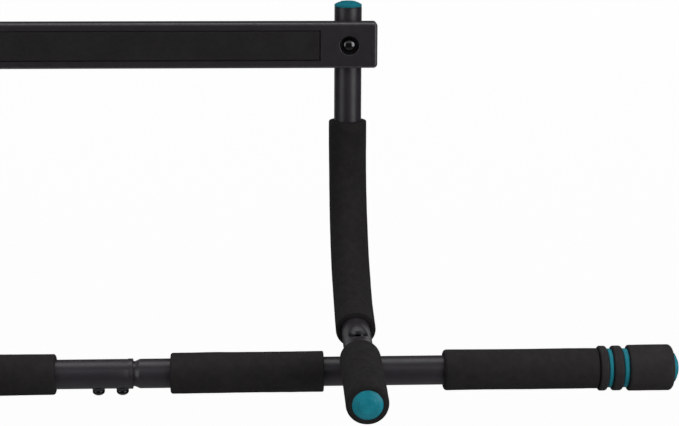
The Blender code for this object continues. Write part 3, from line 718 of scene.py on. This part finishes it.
def clean(item):
    """Joins the doubled points and drops the slivers that a Boolean can leave."""
    bm = bmesh.new()
    bm.from_mesh(item.data)
    bmesh.ops.remove_doubles(bm, verts=bm.verts, dist=SLIVER)
    bmesh.ops.dissolve_degenerate(bm, dist=SLIVER, edges=bm.edges)
    bm.to_mesh(item.data)
    bm.free()


def bake(item):
    """Applies an object's modifiers to its mesh."""
    bpy.context.view_layer.update()
    graph = bpy.context.evaluated_depsgraph_get()
    mesh = bpy.data.meshes.new_from_object(item.evaluated_get(graph))
    item.modifiers.clear()
    old = item.data
    item.data = mesh
    bpy.data.meshes.remove(old)


def rounded(item, width, segments, angle):
    """Rounds the edges of an object that turn by more than angle, in degrees."""
    modifier = item.modifiers.new("Edges", "BEVEL")
    modifier.width = width
    modifier.segments = segments
    modifier.limit_method = "ANGLE"
    modifier.angle_limit = math.radians(angle)
    modifier.use_clamp_overlap = True
    bake(item)


def finish_piece(item, node, material):
    """Smooths a fine piece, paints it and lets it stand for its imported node."""
    item.name = node + "_fine"
    item.data.name = item.name
    item.data.materials.clear()
    item.data.materials.append(material)
    item.data.shade_smooth()
    item.data.set_sharp_from_angle(angle=SMOOTH_ANGLE)
    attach(item, BODY)
    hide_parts(node)
    return item


def flat_faces(item):
    """Keeps broad faces flat and leaves the turn of a rounded edge to its own faces."""
    modifier = item.modifiers.new("Normals", "WEIGHTED_NORMAL")
    modifier.keep_sharp = True
    modifier.weight = 90
    bake(item)


def cylinder(line, radius, low, high, steps=SMALL_ROUND):
    """A plain cylinder along a line, used to cut holes."""
    return turned([(0, high), (radius, high), (radius, low), (0, low)], line, steps=steps)


# ---------------------------------------------------------------- foam pieces

def foam_piece(node, profile, line, material):
    """A sleeve turned from a closed profile, its bore divided too so that it can bend."""
    loop = divided(profile + profile[:1], FOAM_STEP)[:-1]
    bm = turned(loop, line, True, shape=soft)
    piece = finish_piece(object_of(node, bm), node, material)


def bar_foam(side, sign):
    """The two long sleeves, the ridges and the end grip on one half of the main bar."""
    line = bar_line(sign)
    bore = TUBE_RADIUS + CONTACT
    for node, far_corner, near_corner, material in (
            ("inner_foam_" + side, 1.2 * MM, 2.2 * MM, FOAM),
            ("outer_foam_" + side, 1.8 * MM, 3.0 * MM, FOAM),
            ("ridge_" + side + "_1", 2.4 * MM, 1.2 * MM, GRIP_END_FOAM),
            ("ridge_" + side + "_2", 2.4 * MM, 1.2 * MM, GRIP_END_FOAM),
            ("end_grip_" + side, 3.6 * MM, 1.4 * MM, GRIP_END_FOAM)):
        near, far = span(node)
        profile = sleeve_profile(radius_of(node), bore, near, far, far_corner, near_corner)
        foam_piece(node, profile, line, material)


def arm_foam(side, sign):
    """The long sleeve that follows one arm round its bend."""
    points = arm_points(sign)
    first = ARM_TOP - ARM_FOAM_TOP
    last = arm_length(points) - GRIP_TUBE_END - ARM_FOAM_FRONT
    profile = sleeve_profile(FOAM_RADIUS, TUBE_RADIUS + CONTACT, first, last, 1.4 * MM, 0.9 * MM)
    foam_piece("arm_foam_" + side, profile, arm_line(sign), ARM_FOAM)


def grip_foam(side, sign):
    """The neutral grip's sleeve, rounder at its rear end than at its front."""
    start = CROSSING + Vector((sign * ARM_X, 0, 0))
    profile = sleeve_profile(FOAM_RADIUS, TUBE_RADIUS + CONTACT, *GRIP_FOAM, 3.2 * MM, 5.8 * MM)
    foam_piece("neutral_grip_foam_" + side, profile, straight(start, GRIP_AIM), ARM_FOAM)


def wall_pad():
    """The soft strip in the beam's front."""
    item = object_of("pad", box_mesh(PAD_LOW, PAD_HIGH))
    rounded(item, PAD_EDGE, 4, 60)
    piece = finish_piece(item, "beam_pad", PAD)
    flat_faces(piece)


# ---------------------------------------------------------------- teal pieces

def plug(node, line, material):
    """A plug with a rim, a low dome with a raised disc on it, and a stem in the tube."""
    disc = PLUG_DISC_RADIUS
    stem = TUBE_RADIUS - TUBE_WALL - PLUG_STEM_GAP
    profile = [(0, 5.4 * MM), (3.0 * MM, 5.33 * MM), (5.5 * MM, 5.18 * MM)]
    profile += arc(disc - PLUG_DISC_EDGE, 4.5 * MM, PLUG_DISC_EDGE, 80, 0, 4)
    profile += [(disc + 0.25 * MM, 4.35 * MM), (disc + 1.6 * MM, 4.1 * MM),
                (disc + 3.0 * MM, 3.55 * MM), (disc + 4.2 * MM, 2.85 * MM)]
    profile += arc(TUBE_RADIUS - PLUG_RIM_EDGE, 1.9 * MM, PLUG_RIM_EDGE, 55, 0, 4)
    profile += [(TUBE_RADIUS, FIT_GAP), (stem, FIT_GAP), (stem, MM - PLUG_STEM_LENGTH),
                (stem - MM, -PLUG_STEM_LENGTH), (0, -PLUG_STEM_LENGTH)]
    finish_piece(object_of(node, turned(profile, line)), node, material)


def accent_ring(side, sign, number):
    """One teal ring between the foam ridges."""
    node = "accent_ring_" + side + "_" + str(number)
    near, far = span(node)
    profile = sleeve_profile(radius_of(node), TUBE_RADIUS + CONTACT, near, far, 1.2 * MM,
                             1.2 * MM, 0.3 * MM)
    bm = turned(profile, bar_line(sign), True)
    finish_piece(object_of(node, bm), node, RING_TEAL)


# ---------------------------------------------------------------- fasteners

def button_head(head, shank, length, skirt_share=HEAD_SKIRT):
    """A round-headed bolt with its seat at 0 and its shank below. head is (radius, height)."""
    radius, height = head
    skirt = skirt_share * height
    profile = dome(radius, skirt, height - skirt)
    profile += arc(radius - HEAD_EDGE, HEAD_EDGE, HEAD_EDGE, 0, -90, 3)
    profile += [(shank, 0), (shank, SHANK_CHAMFER - length), (shank - SHANK_CHAMFER, -length),
                (0, -length)]
    return profile


def key_socket(item, line, flats, top):
    """Cuts a hexagonal key socket into a bolt's head."""
    radius = flats / math.sqrt(3)
    profile = [(0, top + MM), (radius + 0.2 * MM, top + MM), (radius, top - 0.4 * MM),
               (radius, top - KEY_DEPTH), (0, top - KEY_DEPTH - MM)]
    combine(item, turned(profile, line, steps=6))


def dome_nut(node, line):
    """A chamfered hexagon under a dome, hollow for the bolt's end."""
    corner = NUT_FLATS / math.sqrt(3)
    chamfer = 0.5 * MM

    def hexagon(radius, _, angle):
        """Cuts the radius back to the hexagon's flats, but not on the dome."""
        if radius <= NUT_DOME_RADIUS:
            return radius
        turn = (angle + math.pi / 6) % (math.pi / 3) - math.pi / 6
        return min(radius, NUT_FLATS / 2 / math.cos(turn))

    profile = dome(NUT_DOME_RADIUS - 0.2 * MM, NUT_HEIGHT, NUT_DOME_HEIGHT)
    profile += [(NUT_DOME_RADIUS, NUT_HEIGHT), (corner - 1.2 * MM, NUT_HEIGHT),
                (corner - 0.4 * MM, NUT_HEIGHT - 0.35 * MM), (corner, NUT_HEIGHT - 0.8 * MM),
                (corner, chamfer), (corner - 0.9 * MM, 0), (BOLT_HOLE_RADIUS + 0.5 * MM, 0),
                (BOLT_HOLE_RADIUS, 0.5 * MM), (BOLT_HOLE_RADIUS, NUT_GRIP + MM),
                (0, NUT_GRIP + 2 * MM)]
    finish_piece(object_of(node, turned(profile, line, shape=hexagon)), node, BLACK)


def saddle_washer(node, place, aim, tube_axis):
    """A square washer hollowed to sit on a tube."""
    half = SADDLE_WIDTH / 2
    turn = Vector(aim).to_track_quat("Z", "Y").to_matrix().to_4x4()
    item = object_of(node, box_mesh((-half, -half, -SADDLE_DROP), (half, half, SADDLE_THICKNESS)))
    rounded(item, SADDLE_CORNER, 3, 60)
    item.data.transform(Matrix.Translation(place) @ turn)
    axis = Vector(place) - Vector(aim) * TUBE_RADIUS
    combine(item, cylinder(straight(axis, tube_axis), TUBE_RADIUS + 2 * CONTACT, -REACH, REACH, ROUND))
    combine(item, cylinder(straight(place, aim), BOLT_HOLE_RADIUS, -REACH, REACH))
    rounded(item, SADDLE_EDGE, 2, 50)
    finish_piece(item, node, BLACK)


def beam_fasteners(side, sign):
    """The bolt through the beam and one arm, with its washer and nut behind."""
    front = Vector((sign * ARM_X, -(FIT_GAP - STRIP_FRONT), BEAM_MIDDLE))
    back = ARM_Y + TUBE_RADIUS
    nut_seat = back + SADDLE_THICKNESS + FIT_GAP
    line = straight(front, (0, -1, 0))
    length = nut_seat + NUT_GRIP - front.y
    profile = button_head(BEAM_HEAD, BOLT_RADIUS, length, BEAM_HEAD_SKIRT)
    node = "beam_bolt_" + side
    finish_piece(object_of(node, turned(profile, line, steps=SMALL_ROUND)), node, BLACK)
    saddle_washer("beam_saddle_washer_" + side, Vector((sign * ARM_X, back, BEAM_MIDDLE)),
                  (0, 1, 0), (0, 0, 1))
    dome_nut("beam_dome_nut_" + side,
             straight((sign * ARM_X, nut_seat, BEAM_MIDDLE), (0, 1, 0)))


def crossing_fasteners(side, sign):
    """The bolt down through one arm and the main bar, with its washer and nut below."""
    top = CROSSING.z + SEAT_FLOOR + FIT_GAP
    bottom = BAR.z - TUBE_RADIUS
    nut_seat = bottom - SADDLE_THICKNESS - FIT_GAP
    line = straight((sign * ARM_X, BAR.y, top), (0, 0, 1))
    node = "crossing_bolt_" + side
    profile = button_head(CROSSING_HEAD, BOLT_RADIUS, top - nut_seat + NUT_GRIP)
    item = object_of(node, turned(profile, line, steps=SMALL_ROUND))
    key_socket(item, line, CROSSING_KEY, CROSSING_HEAD[1])
    finish_piece(item, node, BLACK)
    saddle_washer("crossing_saddle_washer_" + side, Vector((sign * ARM_X, BAR.y, bottom)),
                  (0, 0, -1), (1, 0, 0))
    dome_nut("crossing_dome_nut_" + side,
             straight((sign * ARM_X, BAR.y, nut_seat), (0, 0, -1)))


def joint_screw(node):
    """One of the two screws under the main bar's joint."""
    along = centre(node).x
    seat = BAR.z - TUBE_RADIUS - SCREW_SEAT_DROP - FIT_GAP
    line = straight((along, BAR.y, seat), (0, 0, -1))
    profile = button_head(SCREW_HEAD, SCREW_RADIUS, BAR.z - SCREW_END_DROP - seat)
    item = object_of(node, turned(profile, line, steps=SMALL_ROUND))
    key_socket(item, line, SCREW_KEY, SCREW_HEAD[1])
    finish_piece(item, node, BLACK)


# ---------------------------------------------------------------- tubes

def press(item, crossing):
    """Presses an arm's round seat from above, and its saddle on the main bar from below."""
    for vertex in item.data.vertices:
        offset = vertex.co - crossing
        inner = offset.xz.length < TUBE_RADIUS - TUBE_WALL / 2
        wall = TUBE_WALL if inner else 0
        across = offset.xy.length
        if across < REACH and offset.z > 0:
            steep = max(0.0, across - (SEAT_WALL_START + wall)) * SEAT_WALL_SLOPE
            funnel = (across - (SEAT_FUNNEL_START + wall)) * SEAT_FUNNEL_SLOPE + SEAT_FUNNEL_HEIGHT
            limit = SEAT_FLOOR - wall + soft_min(steep, funnel, FUNNEL_ROUNDING)
            vertex.co.z = crossing.z + soft_min(offset.z, limit, SEAT_ROUNDING)
        elif abs(offset.y) < TUBE_RADIUS + MM and offset.z < 0:
            depth = (TUBE_RADIUS + 2 * CONTACT) ** 2 - offset.y ** 2
            floor = BAR.z - crossing.z + math.sqrt(max(depth, 0)) + wall
            if depth > 0:
                vertex.co.z = crossing.z - soft_min(-offset.z, -floor, SADDLE_ROUNDING)


def soft_min(first, second, blend):
    """The smaller of two lengths, with a round change between them."""
    apart = max(blend - abs(first - second), 0) / blend
    return min(first, second) - apart * apart * blend / 4


def arm_tube(side, sign):
    """One bent arm: a hollow tube with its pressed seat, its saddle and its bolt holes."""
    points = arm_points(sign)
    length = arm_length(points)
    crossing_at = length - GRIP_TUBE_END
    crossing = CROSSING + Vector((sign * ARM_X, 0, 0))
    bore, edge = TUBE_RADIUS - TUBE_WALL, ARM_LIP
    dense = [crossing_at + index * PRESS_STEP for index in range(-PRESS_STEPS, PRESS_STEPS + 1)]
    plain = [index * ARM_STEP for index in range(1, int(length / ARM_STEP))]
    plain = [station for station in plain if not dense[0] - MM <= station <= dense[-1] + MM]
    stations = sorted(dense + plain)
    profile = [(bore, station) for station in reversed(stations)]
    profile += [(bore, 0), (TUBE_RADIUS - edge, 0), (TUBE_RADIUS, edge)]
    profile += [(TUBE_RADIUS, station) for station in stations]
    profile += [(TUBE_RADIUS, length - edge), (TUBE_RADIUS - edge, length), (bore, length)]
    item = object_of("arm", turned(profile, arm_line(sign), True))
    press(item, crossing)
    combine(item, cylinder(straight(crossing, (0, 0, 1)), BOLT_HOLE_RADIUS, -REACH, REACH))
    height = (sign * ARM_X, ARM_Y, BEAM_MIDDLE)
    combine(item, cylinder(straight(height, (0, 1, 0)), BOLT_HOLE_RADIUS, -REACH, REACH))
    finish_piece(item, "arm_tube_" + side, ARM_PAINT)


def left_tube():
    """The main bar's left half, with its rolled sleeve end and the two screw seats."""
    line = bar_line(-1)
    bore, lip = TUBE_RADIUS - TUBE_WALL, TUBE_LIP
    band = SLEEVE_END - SLEEVE_BAND
    profile = [(bore, -SLEEVE_END + lip), (bore + lip, -SLEEVE_END)]
    profile += arc(TUBE_RADIUS + SLEEVE_BEAD - lip, -SLEEVE_END + lip, lip, -90, 0, 3)
    profile += [(TUBE_RADIUS + SLEEVE_BEAD, -band - SLEEVE_BAND_SLOPE), (TUBE_RADIUS, -band)]
    profile += [(TUBE_RADIUS, TUBE_END - lip), (TUBE_RADIUS - lip, TUBE_END), (bore, TUBE_END)]
    item = object_of("tube", turned(divided(profile, TUBE_STEP), line, True))
    seat = -TUBE_RADIUS - SCREW_SEAT_DROP
    for node in JOINT_SCREWS:
        up = straight((centre(node).x, BAR.y, BAR.z), (0, 0, 1))
        boss = [(0, -bore - FIT_GAP), (SCREW_SEAT_RADIUS + 0.9 * MM, -bore - FIT_GAP),
                (SCREW_SEAT_RADIUS + 0.5 * MM, -TUBE_RADIUS + 0.6 * MM)]
        boss += arc(SCREW_SEAT_RADIUS - SCREW_SEAT_EDGE, seat + SCREW_SEAT_EDGE, SCREW_SEAT_EDGE,
                    0, -90, 3)
        boss.append((0, seat))
        combine(item, turned(boss, up, steps=SMALL_ROUND), "UNION")
        combine(item, cylinder(up, SCREW_HOLE_RADIUS, -REACH, 0))
    hole = straight((-ARM_X, BAR.y, BAR.z), (0, 0, 1))
    combine(item, cylinder(hole, BOLT_HOLE_RADIUS, -REACH, REACH))
    finish_piece(item, "main_tube_left", BAR_PAINT)


def right_tube():
    """The main bar's right half: its swaged end runs inside the left half's sleeve end."""
    line = bar_line(1)
    bore, edge = TUBE_RADIUS - TUBE_WALL, TUBE_LIP
    inside = SWAGE_RADIUS - TUBE_WALL
    neck, full = SHOULDER
    rise = TUBE_RADIUS - SWAGE_RADIUS
    profile = [(bore, TUBE_END), (TUBE_RADIUS - edge, TUBE_END), (TUBE_RADIUS, TUBE_END - edge)]
    for index in range(SHOULDER_STEPS + 1):
        share = index / SHOULDER_STEPS
        height = full - (full - neck) * share
        profile.append((SWAGE_RADIUS + rise * (1 - share * share * (3 - 2 * share)), height))
    profile += [(SWAGE_RADIUS, SWAGE_START + edge), (SWAGE_RADIUS - edge, SWAGE_START),
                (inside, SWAGE_START), (inside, neck), (bore, full)]
    item = object_of("tube", turned(divided(profile, TUBE_STEP), line, True))
    for node in JOINT_SCREWS:
        up = straight((centre(node).x, BAR.y, BAR.z), (0, 0, 1))
        combine(item, cylinder(up, SCREW_HOLE_RADIUS, -REACH, 0))
    hole = straight((ARM_X, BAR.y, BAR.z), (0, 0, 1))
    combine(item, cylinder(hole, BOLT_HOLE_RADIUS, -REACH, REACH))
    finish_piece(item, "main_tube_right", BAR_PAINT)


# ---------------------------------------------------------------- flat beam

def beam_block():
    """The cover's solid outline: four round corners and a rounded front edge."""
    low, high = BEAM_LOW, BEAM_HIGH
    bm = box_mesh(low, high)
    corners = [edge for edge in bm.edges
               if abs(edge.verts[0].co.y - edge.verts[1].co.y) > (high.y - low.y) / 2]
    bmesh.ops.bevel(bm, geom=corners, offset=BEAM_CORNER, segments=8, profile=0.5,
                    affect="EDGES")
    front = [edge for edge in bm.edges
             if all(abs(vertex.co.y - low.y) < CONTACT for vertex in edge.verts)]
    bmesh.ops.bevel(bm, geom=front, offset=BEAM_EDGE, segments=5, profile=0.5,
                    affect="EDGES")
    back = [edge for edge in bm.edges
            if all(abs(vertex.co.y - high.y) < CONTACT for vertex in edge.verts)]
    bmesh.ops.bevel(bm, geom=back, offset=BEAM_BACK_EDGE, segments=3, profile=0.5, affect="EDGES")
    return bm


def flared_box(low, high, flare):
    """A box whose mouth at its low y opens outward by flare, to round an edge."""
    bm = box_mesh(low, high)
    mouth = [vertex for vertex in bm.verts if vertex.co.y < (low[1] + high[1]) / 2]
    middle = (Vector(low) + Vector(high)) / 2
    for vertex in mouth:
        vertex.co.x += math.copysign(flare, vertex.co.x - middle.x)
        vertex.co.z += math.copysign(flare, vertex.co.z - middle.z)
    return bm


def beam_shell():
    """The moulded cover, open at the back, with the pad's pocket and the bolt wells."""
    low, high = BEAM_LOW, BEAM_HIGH
    item = object_of("shell", beam_block())
    cavity = box_mesh((low.x + BEAM_SIDE_WALL, low.y + BEAM_FRONT_WALL, low.z + BEAM_SIDE_WALL),
                      (high.x - BEAM_SIDE_WALL, high.y + MM, high.z - BEAM_SIDE_WALL))
    cavity_item = object_of("cavity", cavity)
    for sign in SIDES.values():
        line = straight((sign * ARM_X, 0, BEAM_MIDDLE), (0, -1, 0))
        combine(cavity_item, cylinder(line, WELL_BOSS_RADIUS, FIT_GAP - STRIP_FRONT, REACH))
    cavity_bm = bmesh.new()
    cavity_bm.from_mesh(cavity_item.data)
    bpy.data.objects.remove(cavity_item, do_unlink=True)
    combine(item, cavity_bm)
    depth = -low.y
    for sign in SIDES.values():
        line = straight((sign * ARM_X, 0, BEAM_MIDDLE), (0, -1, 0))
        mouth = arc(WELL_RADIUS + WELL_EDGE, depth - WELL_EDGE, WELL_EDGE, 90, 180, 4)
        profile = [(0, depth + MM), (WELL_RADIUS + 2 * WELL_EDGE, depth + MM)] + mouth
        profile += [(WELL_RADIUS, depth - 2 * MM), (WELL_RADIUS, -REACH), (0, -REACH)]
        combine(item, turned(profile, line))
        groove = straight((sign * ARM_X, ARM_Y, BEAM_MIDDLE), (0, 0, 1))
        combine(item, cylinder(groove, TUBE_RADIUS + 2 * CONTACT, -2 * REACH, 2 * REACH, ROUND))
    pocket_low = (PAD_LOW.x - PAD_GROOVE, low.y - POCKET_MOUTH, PAD_LOW.z - PAD_GROOVE)
    pocket_high = (PAD_HIGH.x + PAD_GROOVE, low.y + PAD_POCKET_DEPTH, PAD_HIGH.z + PAD_GROOVE)
    combine(item, flared_box(pocket_low, pocket_high, POCKET_FLARE))
    flat_faces(finish_piece(item, "beam_shell", PLASTIC))


def back_plate():
    """The beam's back cover, with its edges rounded."""
    item = object_of("plate", mesh_of("beam_back_plate"))
    rounded(item, BEAM_BACK_EDGE, 3, 50)
    flat_faces(finish_piece(item, "beam_back_plate", PLASTIC))


def kept_nodes():
    """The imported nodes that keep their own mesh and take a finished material."""
    # The steel strip takes the black fastener material, a painted shade that keeps the bottom of the bolt
    # wells dark.
    for node, material in (("beam_steel_strip", BLACK), ("joint_nut_left", STEEL),
                           ("joint_nut_right", STEEL)):
        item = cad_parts[node]
        item.data.materials.clear()
        item.data.materials.append(material)


# ---------------------------------------------------------------- the scene

make_camera()
make_lights()
make_world()
make_floor(floor_material())
FOAM = foam_material("black_foam", 1.10)
# The arms and neutral grips take the bar's foam painted darker: painted shade, for the weaker light on
# them.
ARM_FOAM = foam_material("black_foam_painted_darker", 0.86)
GRIP_END_FOAM = foam_material("charcoal_foam", 1.40)
PAD = pad_material()
ARM_PAINT = paint_material("charcoal_powder_coat", 1.0)
# The main bar takes the arms' powder coat painted 28% lighter: painted light, for the brighter light on
# the bar.
BAR_PAINT = paint_material("charcoal_powder_coat_painted_lighter", 1.28)
PLASTIC = beam_material()
PLUG_TEAL = teal_material("teal_plastic", 0.3, 0.06 * MM)
TOP_TEAL = teal_material("dark_teal_plastic", 0.3, 0.05 * MM, 0.63, 0.04)
RING_TEAL = teal_material("teal_rubber", 0.55, 0.03 * MM)
BLACK = fastener_material()
STEEL = steel_material()

beam_shell()
wall_pad()
back_plate()
kept_nodes()
left_tube()
right_tube()
for screw in JOINT_SCREWS:
    joint_screw(screw)
for side, sign in SIDES.items():
    arm_tube(side, sign)
    arm_foam(side, sign)
    grip_foam(side, sign)
    bar_foam(side, sign)
    accent_ring(side, sign, 1)
    accent_ring(side, sign, 2)
    beam_fasteners(side, sign)
    crossing_fasteners(side, sign)
    plug("arm_top_plug_" + side, straight((sign * ARM_X, ARM_Y, ARM_TOP), (0, 0, 1)), TOP_TEAL)
    grip_end = CROSSING + Vector((sign * ARM_X, 0, 0)) + GRIP_AIM * GRIP_TUBE_END
    plug("neutral_grip_plug_" + side, straight(grip_end, GRIP_AIM), PLUG_TEAL)
    plug("end_plug_" + side, straight(BAR + Vector((sign * TUBE_END, 0, 0)), (sign, 0, 0)),
         PLUG_TEAL)
